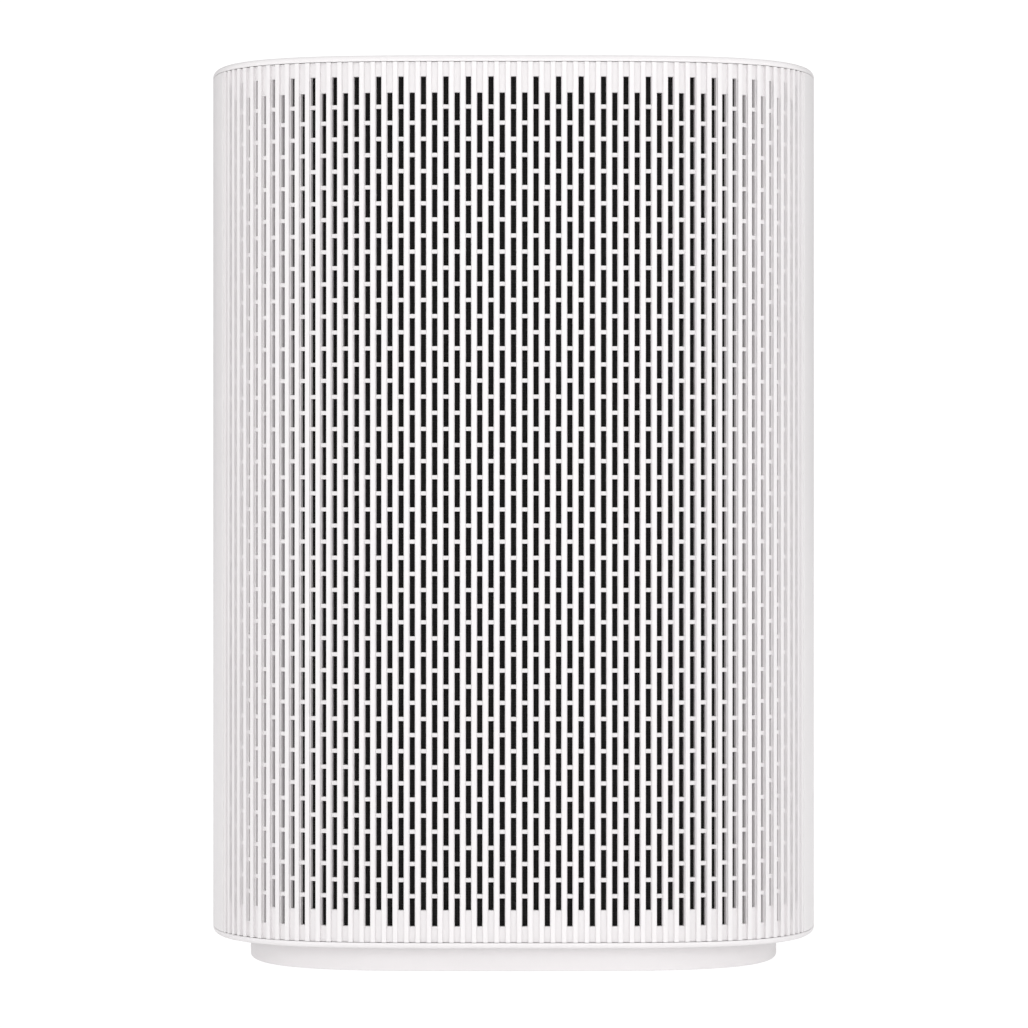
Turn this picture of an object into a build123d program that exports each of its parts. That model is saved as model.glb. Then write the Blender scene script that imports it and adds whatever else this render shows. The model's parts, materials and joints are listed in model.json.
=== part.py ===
"""Tower air purifier: ribbed covers front and rear, two filter cartridges, a centrifugal fan, a top outlet.

Millimetres, +Z up, the front cover faces -Y. The origin is the centre of the footprint, on the floor.
"""

import math
import os

from build123d import *

# Overall size
WIDTH = 400.0  # side to side and front to back
HEIGHT = 582.0
HALF = WIDTH / 2
SQUARENESS = 4  # exponent of the rounded-square plan: x**4 + y**4 = half**4

# Levels above the floor
FOOT_GAP = 0.4  # the rubber feet lift the plinth this far
TRAY_BOTTOM = 17.4
TRAY_TOP = 21.0
CAP_BOTTOM = 578.15
SEAM = 0.3  # gap between neighbouring outer panels
SHELL_BOTTOM = TRAY_TOP + SEAM
SHELL_TOP = CAP_BOTTOM - SEAM
SHELL_HEIGHT = SHELL_TOP - SHELL_BOTTOM
PLINTH_HALF = 175.6
DECK_BOTTOM = 476.0
DECK_TOP = 480.0

# Ribbed covers, measured along the outline
RIB_PITCH = 7.126
RIB_COUNT = 60
RIB_WIDTH = 3.0
RIB_DEPTH = 2.0
COVER_WALL = 3.65  # behind the grooves
SLOT_WIDTH = 3.3
SLOT_LENGTH = 17.75
SLOT_PITCH = 20.375
SLOT_ROWS = 26
SLOT_MIDDLE = 300.0  # level about which the rows of slots lie evenly
SLOT_STAGGER = 5.09  # neighbouring columns move up and down by this much
SLOT_COLUMNS = 28  # on each side of the middle column
SLOT_REACH = 12.0  # how deep a slot is cut, from RIB_DEPTH outside the ribs

PANEL_WALL = 3.0
EDGE_ROUND = 2.5

# Inner frame
WALL_INNER = 155.0  # half the clear width between the inner walls
WALL_OUTER = 158.0
POST_OUTER = 176.0
POST_FRONT = 133.0
POST_BACK = 119.0
POST_TOP_GAP = 8.0  # the cap's pads reach down this far to the posts
SEAT_OUTER = 116.0
SEAT_INNER = 113.0
INNER_RIM = 192.0  # stiffening rims of tray and cap, just inside the covers
INNER_RIM_WALL = 3.0
INNER_RIM_HEIGHT = 6.0

# Cover fixings
LUG_INNER = 164.0
LUG_OUTER = 183.0
LUG_FRONT = 141.0
LUG_BACK = 134.6
LUG_HEIGHT = 20.0
LUG_LEVELS = (70.0, 530.0)
MAGNET_X = 170.0
MAGNET_RADIUS = 4.0
MAGNET_DEPTH = 3.0
STRIKER_WIDTH = 10.0
STRIKER_HEIGHT = 18.0
STRIKER_THICKNESS = 1.0

# Prefilter, a net in a curved frame behind each cover
PREFILTER_OUTER = 192.5
PREFILTER_MESH = 0.5
PREFILTER_FRAME = 2.0
PREFILTER_GLUE = 0.15  # between the net and its frame
PREFILTER_END = 143.0
PREFILTER_BOTTOM = 29.0
PREFILTER_TOP = 571.0
PREFILTER_LIP = 2.0  # height of the lips that centre the frame in the cover
WINDOW_PITCH = 55.0
WINDOW_HEIGHT = 3.25 * WINDOW_PITCH
WINDOW_BAR = 5.0
WINDOW_COLUMNS = 6
WINDOW_ROWS = 3
TOUCH_GAP = 0.3  # between curved faces that meet

# Filters
FILTER_WIDTH = 300.0
FILTER_BOTTOM = 30.0
FILTER_TOP = 470.0
FILTER_FRONT = 166.0
FILTER_BACK = 118.0
FILTER_HEIGHT = FILTER_TOP - FILTER_BOTTOM
FILTER_MIDDLE = (FILTER_TOP + FILTER_BOTTOM) / 2
RIM = 4.0  # cartridge frame wall
STRIP_JOINT = 0.2  # gap where the strips of a frame meet
LATTICE_BAR = 4.0
LATTICE_DEPTH = 3.0
LATTICE_COLUMNS = 4
LATTICE_ROWS = 6
MEDIA_FRONT = 160.0
MEDIA_BACK = 128.0
MEDIA_THICKNESS = 0.8
MEDIA_GAP = 0.3  # between the media and the cartridge frame
CARBON_FRONT = 126.0
CARBON_BACK = 120.0
PLEATS = 48
GASKET_STRIP = 9.0
GASKET_INSET = 0.5
SEAT_RAIL = 20.0  # width of the rails the gaskets press on
SEAT_LAP = 15.0  # how far the rails above and below reach over the cartridge's ends
TAB_THICKNESS = 1.6
TAB_WIDTH = 28.0
TAB_HEIGHT = 74.0
TAB_ROUND = 3.5
TAB_HOLE_WIDTH = 18.0
TAB_HOLE_HEIGHT = 24.0

# Fan
IMPELLER_RADIUS = 135.0
INTAKE_RADIUS = 92.0
HOUSING_INNER = 161.6
HOUSING_OUTER = 165.0
LEDGE_INNER = 154.0  # radius inside the housing's and the cap's ledges
MOUNT_BOTTOM = 546.0
SHAFT_RADIUS = 4.0
RUNNING_FIT = 0.05

# Top
OUTLET_RADIUS = 158.0
GRILLE_TOP = 579.0
GRILLE_BOTTOM = 571.0
PUCK_RADIUS = 48.0
BUTTON_RADIUS = 8.0
BUTTON_X = 22.0

# Side details
GRIP_WIDTH = 120.0
GRIP_HEIGHT = 32.0
GRIP_LEVEL = 436.0
GRIP_DEPTH = 22.0
GRIP_ROUND = 8.0
GRIP_WALL = 2.0
GRIP_FLANGE = 4.0
GRIP_FLANGE_GAP = 0.6  # between the panel's inner face and the cup's flange
PANEL_REACH = 60.0  # how far the outline is searched for a side panel's stretch
DOOR_WIDTH = 50.0
DOOR_HEIGHT = 40.0
DOOR_BOTTOM = 118.0
HINGE_X = 198.5
HINGE_Z = DOOR_BOTTOM + 1.5
HINGE_PIN_RADIUS = 0.8
HINGE_PIN_REACH = 2.8  # of the pin, beyond the door's edges
HINGE_HOLE = 3.0
HINGE_HOLE_FIT = 0.02
KNUCKLE_RADIUS = 1.3
DOOR_GAP = 0.4
DOOR_OUTER = HALF - 0.2
DOOR_THICKNESS = 2.4
DOOR_SLOTS = 7
DOOR_SLOT_PITCH = 5.0
DOOR_SLOT_WIDTH = 2.4
DOOR_SLOT_LENGTH = 20.0

# Power inlet in the plinth's rear wall
INLET_Z = 10.6
INLET_WIDTH = 24.0
INLET_HEIGHT = 12.0
INLET_DEPTH = 20.0
SOCKET_WIDTH = 15.0
SOCKET_HEIGHT = 8.8
SOCKET_DEPTH = 12.0
PIN_X = 4.2
PIN_RADIUS = 1.1
PIN_RECESS = 2.0

STEPS = 4000  # stations used to measure along the outline


def outline_point(half, angle):
    """The point of the rounded-square outline in the direction of angle, in radians from +X."""
    across = abs(math.cos(angle)) ** SQUARENESS + abs(math.sin(angle)) ** SQUARENESS
    reach = half / across ** (1 / SQUARENESS)
    return Vector(reach * math.cos(angle), reach * math.sin(angle))


def squircle(half, mode=Mode.ADD):
    """Draws the whole rounded-square outline in the sketch that is open."""
    with BuildSketch(mode=Mode.PRIVATE) as outline:
        with BuildLine():
            Spline(*[outline_point(half, math.radians(9 * i)) for i in range(40)], periodic=True)
        make_face()
    add(outline.sketch, mode=mode)


def front_stations():
    """Distances along the outline from the middle of the front, with the angle reached at each."""
    stations = [(0.0, -math.pi / 2)]
    last = outline_point(HALF, -math.pi / 2)
    for i in range(1, STEPS + 1):
        angle = -math.pi / 2 + i * math.pi / 2 / STEPS
        point = outline_point(HALF, angle)
        stations.append((stations[-1][0] + (point - last).length, angle))
        last = point
    return stations


STATIONS = front_stations()


def on_front(distance, depth=0.0):
    """The point at a distance along the front outline, sunk by depth, and the outward direction there."""
    low, high = 0, STEPS
    while high - low > 1:
        middle = (low + high) // 2
        if STATIONS[middle][0] < abs(distance):
            low = middle
        else:
            high = middle
    (s0, a0), (s1, a1) = STATIONS[low], STATIONS[high]
    angle = a0 + (a1 - a0) * (abs(distance) - s0) / (s1 - s0)
    point = outline_point(HALF, angle)
    outward = Vector(point.X**3, point.Y**3).normalized()
    if distance < 0:
        point = Vector(-point.X, point.Y)
        outward = Vector(-outward.X, outward.Y)
    return point - outward * depth, outward


COVER_END = -on_front(RIB_COUNT / 2 * RIB_PITCH)[0].Y
PANEL_END = COVER_END - SEAM

def keep(builder, name):
    """Labels a finished piece and writes it."""
    builder.part.label = name
    export_step(builder.part, f"parts/{name}.step", write_pcurves=False)


os.makedirs("parts", exist_ok=True)

# ---------------------------------------------------------------- covers

rib_face = []
wall_back = []
for i in range(RIB_COUNT):
    centre = (i - (RIB_COUNT - 1) / 2) * RIB_PITCH
    for side, depth in ((-0.5, RIB_DEPTH), (-0.5, 0), (0.5, 0), (0.5, RIB_DEPTH)):
        rib_face.append(on_front(centre + side * RIB_WIDTH, depth)[0])
    wall_back.append(on_front(centre, RIB_DEPTH + COVER_WALL)[0])
past_end = (RIB_COUNT / 2 + 0.5) * RIB_PITCH
rib_face = [on_front(-past_end, RIB_DEPTH)[0]] + rib_face + [on_front(past_end, RIB_DEPTH)[0]]
back_end = RIB_DEPTH + COVER_WALL
wall_back = [on_front(-past_end, back_end)[0]] + wall_back + [on_front(past_end, back_end)[0]]

with BuildPart() as front_grille:
    with BuildSketch(Plane.XY.offset(SHELL_BOTTOM)):
        with BuildLine():
            Polyline(*rib_face, *reversed(wall_back), close=True)
        make_face()
        Rectangle(2 * WIDTH, 2 * COVER_END, mode=Mode.SUBTRACT)
    extrude(amount=SHELL_HEIGHT)
    for level in LUG_LEVELS:
        for side in (-1, 1):
            with BuildSketch(Plane.XY.offset(level - LUG_HEIGHT / 2)):
                squircle(HALF - RIB_DEPTH - COVER_WALL / 2)
                with Locations((side * (LUG_INNER + LUG_OUTER) / 2, -(LUG_FRONT + LUG_BACK) / 2)):
                    Rectangle(LUG_OUTER - LUG_INNER, LUG_FRONT - LUG_BACK, mode=Mode.INTERSECT)
            extrude(amount=LUG_HEIGHT)
    with BuildSketch(Plane.XZ.offset(LUG_BACK)):
        for level in LUG_LEVELS:
            with Locations((-MAGNET_X, level), (MAGNET_X, level)):
                Circle(MAGNET_RADIUS + RUNNING_FIT)
    extrude(amount=MAGNET_DEPTH, mode=Mode.SUBTRACT)
    for parity in (0, 1):
        level = SLOT_MIDDLE + (SLOT_STAGGER if parity == 0 else -SLOT_STAGGER)
        column_planes = []
        for column in range(-SLOT_COLUMNS, SLOT_COLUMNS + 1):
            if column % 2 == parity:
                point, outward = on_front(column * RIB_PITCH, -RIB_DEPTH)
                column_planes.append(
                    Plane(
                        origin=(point.X, point.Y, level),
                        x_dir=(-outward.Y, outward.X, 0),
                        z_dir=outward,
                    )
                )
        with BuildSketch(*column_planes):
            with GridLocations(0, SLOT_PITCH, 1, SLOT_ROWS):
                Rectangle(SLOT_WIDTH, SLOT_LENGTH)
        extrude(amount=-SLOT_REACH, mode=Mode.SUBTRACT)

with BuildPart() as front_cover_magnets:
    with BuildSketch(Plane.XZ.offset(LUG_BACK)):
        for level in LUG_LEVELS:
            with Locations((-MAGNET_X, level), (MAGNET_X, level)):
                Circle(MAGNET_RADIUS)
    extrude(amount=MAGNET_DEPTH)


def curved_band(outer, thickness):
    """Draws the front stretch of the outline as a band, back to the end of the prefilter."""
    squircle(outer)
    squircle(outer - thickness, Mode.SUBTRACT)
    with Locations((0, -PREFILTER_END - HALF)):
        Rectangle(2 * WIDTH, 2 * HALF, mode=Mode.INTERSECT)


with BuildPart() as front_prefilter_mesh:
    with BuildSketch(Plane.XY.offset(PREFILTER_BOTTOM + PREFILTER_LIP + PREFILTER_GLUE)):
        curved_band(PREFILTER_OUTER, PREFILTER_MESH)
    extrude(amount=PREFILTER_TOP - PREFILTER_BOTTOM - 2 * PREFILTER_LIP - 2 * PREFILTER_GLUE)

frame_outer = PREFILTER_OUTER - PREFILTER_MESH - PREFILTER_GLUE
frame_inner = frame_outer - PREFILTER_FRAME
lip_outer = HALF - RIB_DEPTH - COVER_WALL - TOUCH_GAP

with BuildPart() as front_prefilter_frame:
    with BuildSketch(Plane.XY.offset(PREFILTER_BOTTOM)):
        curved_band(frame_outer, PREFILTER_FRAME)
    extrude(amount=PREFILTER_TOP - PREFILTER_BOTTOM)
    for level in (PREFILTER_BOTTOM, PREFILTER_TOP - PREFILTER_LIP):
        with BuildSketch(Plane.XY.offset(level)):
            curved_band(lip_outer, lip_outer - frame_inner)
        extrude(amount=PREFILTER_LIP)
    with BuildSketch(Plane.XZ.offset(FILTER_BACK)):
        with Locations((0, SLOT_MIDDLE)):
            with GridLocations(WINDOW_PITCH, WINDOW_HEIGHT, WINDOW_COLUMNS, WINDOW_ROWS):
                Rectangle(WINDOW_PITCH - WINDOW_BAR, WINDOW_HEIGHT - WINDOW_BAR)
    extrude(amount=HALF, mode=Mode.SUBTRACT)

# ---------------------------------------------------------------- filter cartridges

lattice_width = FILTER_WIDTH - 2 * RIM - 2 * STRIP_JOINT
lattice_height = FILTER_HEIGHT - 2 * RIM - 2 * STRIP_JOINT
cell_width = lattice_width / LATTICE_COLUMNS
cell_height = lattice_height / LATTICE_ROWS
strip_offset = (FILTER_WIDTH - RIM) / 2

with BuildPart() as front_filter_frame:
    with BuildSketch(Plane.XZ.offset(FILTER_BACK)):
        with Locations((-strip_offset, FILTER_MIDDLE), (strip_offset, FILTER_MIDDLE)):
            Rectangle(RIM, FILTER_HEIGHT)
        with Locations((0, FILTER_BOTTOM + RIM / 2), (0, FILTER_TOP - RIM / 2)):
            Rectangle(lattice_width, RIM)
    extrude(amount=FILTER_FRONT - FILTER_BACK)
    with BuildSketch(Plane.XZ.offset(FILTER_FRONT - LATTICE_DEPTH)):
        with Locations((0, FILTER_MIDDLE)):
            Rectangle(lattice_width, lattice_height)
            with GridLocations(cell_width, cell_height, LATTICE_COLUMNS, LATTICE_ROWS):
                Rectangle(cell_width - LATTICE_BAR, cell_height - LATTICE_BAR, mode=Mode.SUBTRACT)
    extrude(amount=LATTICE_DEPTH)

half_media = FILTER_WIDTH / 2 - RIM - MEDIA_GAP
media_height = FILTER_HEIGHT - 2 * RIM - 2 * MEDIA_GAP
pleat_step = 2 * half_media / (2 * PLEATS)
fold_front = []
fold_back = []
for i in range(2 * PLEATS + 1):
    x = -half_media + i * pleat_step
    y = -MEDIA_FRONT if i % 2 == 0 else -MEDIA_BACK - 2 * MEDIA_THICKNESS
    fold_front.append((x, y))
    fold_back.append((x, y + 2 * MEDIA_THICKNESS))

with BuildPart() as front_filter_media:
    with BuildSketch(Plane.XY.offset(FILTER_BOTTOM + RIM + MEDIA_GAP)):
        with BuildLine():
            Polyline(*fold_front, *reversed(fold_back), close=True)
        make_face()
    extrude(amount=media_height)

with BuildPart() as front_filter_carbon:
    with BuildSketch(Plane.XZ.offset(CARBON_BACK)):
        with Locations((0, FILTER_MIDDLE)):
            Rectangle(2 * half_media, media_height)
    extrude(amount=CARBON_FRONT - CARBON_BACK)

gasket_width = FILTER_WIDTH - 2 * GASKET_INSET
gasket_height = FILTER_HEIGHT - 2 * GASKET_INSET

with BuildPart() as front_filter_gasket:
    with BuildSketch(Plane.XZ.offset(SEAT_OUTER)):
        with Locations((0, FILTER_MIDDLE)):
            Rectangle(gasket_width, gasket_height)
            Rectangle(gasket_width - 2 * GASKET_STRIP, gasket_height - 2 * GASKET_STRIP, mode=Mode.SUBTRACT)
    extrude(amount=FILTER_BACK - SEAT_OUTER)

with BuildPart() as front_filter_tab:
    with BuildSketch(Plane.XZ.offset(FILTER_FRONT)):
        with Locations((0, FILTER_MIDDLE)):
            RectangleRounded(TAB_WIDTH, TAB_HEIGHT, TAB_ROUND)
            with Locations((0, -TAB_WIDTH / 2)):
                RectangleRounded(TAB_HOLE_WIDTH, TAB_HOLE_HEIGHT, TAB_ROUND, mode=Mode.SUBTRACT)
    extrude(amount=TAB_THICKNESS)

# ---------------------------------------------------------------- rear side, the mirror image

for name, front in (
    ("grille", front_grille),
    ("cover_magnets", front_cover_magnets),
    ("prefilter_mesh", front_prefilter_mesh),
    ("prefilter_frame", front_prefilter_frame),
    ("filter_frame", front_filter_frame),
    ("filter_media", front_filter_media),
    ("filter_carbon", front_filter_carbon),
    ("filter_gasket", front_filter_gasket),
    ("filter_tab", front_filter_tab),
):
    with BuildPart() as rear:
        add(front.part)
        mirror(about=Plane.XZ, mode=Mode.REPLACE)
    keep(front, f"front_{name}")
    keep(rear, f"rear_{name}")

# ---------------------------------------------------------------- plinth, feet and power inlet

FOOT_SPOTS = [(x, y) for x in (-130, 130) for y in (-130, 130)] + [(0, -150), (0, 135)]
FOOT_RADIUS = 12.0
FOOT_HEIGHT = 2.6
FOOT_CHAMFER = 0.3
FOOT_BOSS = 2.0  # how far the plinth floor is thickened around and above a foot
PLINTH_FLOOR = 3.0
PLINTH_ROUND = 0.5
SCREW_SPOTS = [(x, y) for x in (-150, 150) for y in (-70, 70)] + [(-60, -150), (60, -150)]
BOSS_RADIUS = 6.0
SCREW_RADIUS = 2.0
BLIND_COVER = 1.0  # left above the screws in the tray
HEAD_RADIUS = 3.6
HEAD_DEPTH = 2.2
HEAD_RECESS = 1.0
HEX_RADIUS = 1.3
HEX_DEPTH = 1.4
INLET_FACE = PLINTH_HALF + 0.1
INLET_ROUND = 2.0
INLET_CUT = 12.0  # depth of the cut-out through the plinth's rear wall
INLET_PROUD = 5.0  # how far outside the wall the cut starts
CLEARANCE = 0.2  # around screws, feet and the inlet
head_bottom = FOOT_GAP + HEAD_RECESS

with BuildPart() as plinth:
    with BuildSketch(Plane.XY.offset(FOOT_GAP)):
        squircle(PLINTH_HALF)
    extrude(amount=TRAY_BOTTOM - FOOT_GAP)
    fillet(plinth.faces().sort_by(Axis.Z)[0].edges(), PLINTH_ROUND)
    with BuildSketch(Plane.XY.offset(FOOT_GAP + PLINTH_FLOOR)):
        squircle(PLINTH_HALF - PANEL_WALL)
    extrude(amount=TRAY_BOTTOM, mode=Mode.SUBTRACT)
    with BuildSketch(Plane.XY.offset(FOOT_GAP)):
        with Locations(*SCREW_SPOTS):
            Circle(BOSS_RADIUS)
        with Locations(*FOOT_SPOTS):
            Circle(FOOT_RADIUS + FOOT_BOSS)
    extrude(amount=PLINTH_FLOOR + FOOT_BOSS)
    with BuildSketch(Plane.XY.offset(FOOT_GAP)):
        with Locations(*SCREW_SPOTS):
            Circle(BOSS_RADIUS)
    extrude(amount=TRAY_BOTTOM - FOOT_GAP)
    with BuildSketch(Plane.XY):
        with Locations(*FOOT_SPOTS):
            Circle(FOOT_RADIUS + CLEARANCE)
    extrude(amount=FOOT_HEIGHT, mode=Mode.SUBTRACT)
    with BuildSketch(Plane.XY):
        with Locations(*SCREW_SPOTS):
            Circle(HEAD_RADIUS + CLEARANCE)
    extrude(amount=head_bottom + HEAD_DEPTH, mode=Mode.SUBTRACT)
    with BuildSketch(Plane.XY):
        with Locations(*SCREW_SPOTS):
            Circle(SCREW_RADIUS + CLEARANCE)
    extrude(amount=TRAY_BOTTOM, mode=Mode.SUBTRACT)
    with BuildSketch(Plane.XZ.offset(-INLET_FACE - INLET_PROUD)):
        with Locations((0, INLET_Z)):
            RectangleRounded(INLET_WIDTH, INLET_HEIGHT, INLET_ROUND)
    extrude(amount=INLET_PROUD + INLET_CUT, mode=Mode.SUBTRACT)
keep(plinth, "plinth")

with BuildPart() as rubber_feet:
    with BuildSketch(Plane.XY):
        with Locations(*FOOT_SPOTS):
            Circle(FOOT_RADIUS)
    extrude(amount=FOOT_HEIGHT)
    chamfer(rubber_feet.faces().group_by(Axis.Z)[0].edges(), FOOT_CHAMFER)
keep(rubber_feet, "rubber_feet")

with BuildPart() as plinth_screws:
    with BuildSketch(Plane.XY.offset(head_bottom)):
        with Locations(*SCREW_SPOTS):
            Circle(HEAD_RADIUS)
            RegularPolygon(HEX_RADIUS, 6, mode=Mode.SUBTRACT)
    extrude(amount=HEX_DEPTH)
    with BuildSketch(Plane.XY.offset(head_bottom + HEX_DEPTH)):
        with Locations(*SCREW_SPOTS):
            Circle(HEAD_RADIUS)
    extrude(amount=HEAD_DEPTH - HEX_DEPTH)
    with BuildSketch(Plane.XY.offset(head_bottom + HEAD_DEPTH)):
        with Locations(*SCREW_SPOTS):
            Circle(SCREW_RADIUS)
    extrude(amount=TRAY_TOP - BLIND_COVER - head_bottom - HEAD_DEPTH)
keep(plinth_screws, "plinth_screws")

with BuildPart() as power_inlet:
    with BuildSketch(Plane.XZ.offset(-INLET_FACE)):
        with Locations((0, INLET_Z)):
            RectangleRounded(
                INLET_WIDTH - 2 * CLEARANCE, INLET_HEIGHT - 2 * CLEARANCE, INLET_ROUND - CLEARANCE
            )
    extrude(amount=INLET_DEPTH)
    with BuildSketch(Plane.XZ.offset(-INLET_FACE)):
        with Locations((0, INLET_Z)):
            SlotOverall(SOCKET_WIDTH, SOCKET_HEIGHT)
    extrude(amount=SOCKET_DEPTH, mode=Mode.SUBTRACT)
keep(power_inlet, "power_inlet")

with BuildPart() as inlet_pins:
    with BuildSketch(Plane.XZ.offset(-INLET_FACE + PIN_RECESS)):
        with Locations((-PIN_X, INLET_Z), (PIN_X, INLET_Z)):
            Circle(PIN_RADIUS)
    extrude(amount=SOCKET_DEPTH - PIN_RECESS)
keep(inlet_pins, "inlet_pins")

BOARD_Z = 8.0
BOARD_THICKNESS = 1.6
BOARD_SIZE = (120.0, 80.0)
BOARD_SPOT = (20, 100)
BLOCK_HEIGHT = 6.5
TRANSFORMER = (22.0, 18.0)
CAPACITOR_RADIUS = 7.0
TERMINALS = (28.0, 12.0)
CHIP = 14.0
HARNESS_X = 165.0
HARNESS_Y = -90.0
HARNESS_HOLE = 6.0
SILL_WIDTH = FILTER_WIDTH - 20  # of the raised sills the cartridges stand on
SILL_DEPTH = 30.0

with BuildPart() as main_board:
    with BuildSketch(Plane.XY.offset(BOARD_Z)):
        with Locations(BOARD_SPOT):
            Rectangle(*BOARD_SIZE)
    extrude(amount=BOARD_THICKNESS)
    with BuildSketch(Plane.XY.offset(BOARD_Z + BOARD_THICKNESS)):
        with Locations((-20, 118)):
            Rectangle(*TRANSFORMER)
        with Locations((12, 116), (30, 116)):
            Circle(CAPACITOR_RADIUS)
        with Locations((58, 90)):
            Rectangle(*TERMINALS)
        with Locations((4, 84)):
            Rectangle(CHIP, CHIP)
    extrude(amount=BLOCK_HEIGHT)
keep(main_board, "main_board")

with BuildPart() as bottom_tray:
    with BuildSketch(Plane.XY.offset(TRAY_BOTTOM)):
        squircle(HALF)
    extrude(amount=TRAY_TOP - TRAY_BOTTOM)
    fillet(bottom_tray.faces().sort_by(Axis.Z)[0].edges(), EDGE_ROUND)
    with BuildSketch(Plane.XY.offset(TRAY_TOP)):
        squircle(INNER_RIM)
        squircle(INNER_RIM - INNER_RIM_WALL, Mode.SUBTRACT)
    extrude(amount=INNER_RIM_HEIGHT)
    with BuildSketch(Plane.XY.offset(TRAY_TOP)):
        for end in (-1, 1):
            with Locations((0, end * (FILTER_FRONT + FILTER_BACK) / 2)):
                Rectangle(SILL_WIDTH, SILL_DEPTH)
    extrude(amount=FILTER_BOTTOM - TRAY_TOP - TOUCH_GAP)
    with BuildSketch(Plane.XY.offset(TRAY_BOTTOM)):
        with Locations((HARNESS_X, HARNESS_Y)):
            Circle(HARNESS_HOLE)
    extrude(amount=TRAY_TOP - TRAY_BOTTOM, mode=Mode.SUBTRACT)
    with BuildSketch(Plane.XY.offset(TRAY_BOTTOM)):
        with Locations(*SCREW_SPOTS):
            Circle(SCREW_RADIUS + RUNNING_FIT)
    extrude(amount=TRAY_TOP - TRAY_BOTTOM - BLIND_COVER, mode=Mode.SUBTRACT)
keep(bottom_tray, "bottom_tray")

# ---------------------------------------------------------------- inner frame

POST_SCREW_LEVELS = (60.0, 300.0, 545.0)
POST_SCREW_X = 168.0
FLANGE_BACK = POST_BACK - 0.3
FLANGE_THICKNESS = 3.0
FLANGE_INNER = 161.0
FLANGE_BOTTOM = TRAY_TOP + INNER_RIM_HEIGHT + SEAM
FLANGE_TOP = CAP_BOTTOM - INNER_RIM_HEIGHT - SEAM
M3_RADIUS = 1.5
POST_ROUND = 1.5
POST_SCREW_DEPTH = 10.0
PANEL_SCREW_LENGTH = 11.0
M3_HEAD = 2.8
M3_HEAD_HEIGHT = 2.0

with BuildPart() as frame_posts:
    with BuildSketch(Plane.XY.offset(TRAY_TOP)):
        with GridLocations(WALL_OUTER + POST_OUTER, POST_FRONT + POST_BACK, 2, 2):
            Rectangle(POST_OUTER - WALL_OUTER, POST_FRONT - POST_BACK)
    extrude(amount=CAP_BOTTOM - POST_TOP_GAP - TRAY_TOP)
    fillet(frame_posts.edges().filter_by(Axis.Z), POST_ROUND)
    with BuildSketch(Plane.XZ.offset(-POST_BACK)):
        for level in POST_SCREW_LEVELS:
            with Locations((-POST_SCREW_X, level), (POST_SCREW_X, level)):
                Circle(M3_RADIUS + RUNNING_FIT)
    extrude(amount=-POST_SCREW_DEPTH, mode=Mode.SUBTRACT)
    with BuildSketch(Plane.XZ.offset(POST_BACK)):
        for level in POST_SCREW_LEVELS:
            with Locations((-POST_SCREW_X, level), (POST_SCREW_X, level)):
                Circle(M3_RADIUS + RUNNING_FIT)
    extrude(amount=POST_SCREW_DEPTH, mode=Mode.SUBTRACT)
keep(frame_posts, "frame_posts")

with BuildPart() as striker_plates:
    for end in (-1, 1):
        with BuildSketch(Plane.XZ.offset(end * POST_FRONT)):
            for level in LUG_LEVELS:
                with Locations((-MAGNET_X, level), (MAGNET_X, level)):
                    RectangleRounded(STRIKER_WIDTH, STRIKER_HEIGHT, STRIKER_THICKNESS)
        extrude(amount=end * STRIKER_THICKNESS)
keep(striker_plates, "striker_plates")

for name, side in (("left", -1), ("right", 1)):
    with BuildPart() as inner_wall:
        with BuildSketch(Plane.XY.offset(TRAY_TOP)):
            with Locations((side * (WALL_INNER + WALL_OUTER) / 2, 0)):
                Rectangle(WALL_OUTER - WALL_INNER, 2 * POST_FRONT)
        extrude(amount=DECK_BOTTOM - TRAY_TOP)
    keep(inner_wall, f"inner_wall_{name}")

rail_x = WALL_INNER - SEAT_RAIL / 2
rail_z = (TRAY_TOP + DECK_BOTTOM) / 2

for name, end in (("front", 1), ("rear", -1)):
    with BuildPart() as filter_seat:
        with BuildSketch(Plane.XZ.offset(end * SEAT_INNER)):
            with Locations((-rail_x, rail_z), (rail_x, rail_z)):
                Rectangle(SEAT_RAIL, DECK_BOTTOM - TRAY_TOP)
            for low, high in ((TRAY_TOP, FILTER_BOTTOM + SEAT_LAP), (FILTER_TOP - SEAT_LAP, DECK_BOTTOM)):
                with Locations((0, (low + high) / 2)):
                    Rectangle(2 * (WALL_INNER - SEAT_RAIL - STRIP_JOINT), high - low)
        extrude(amount=end * (SEAT_OUTER - SEAT_INNER))
    keep(filter_seat, f"filter_seat_{name}")

# ---------------------------------------------------------------- side panels and their fittings

SENSOR_FLOOR = 186.0
SENSOR_WIDTH = 46.0
SENSOR_HEIGHT = 36.0
SENSOR_BACK = 14.0
SENSOR_FRONT = 6.0
SENSOR_PORT = 6.0


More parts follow.
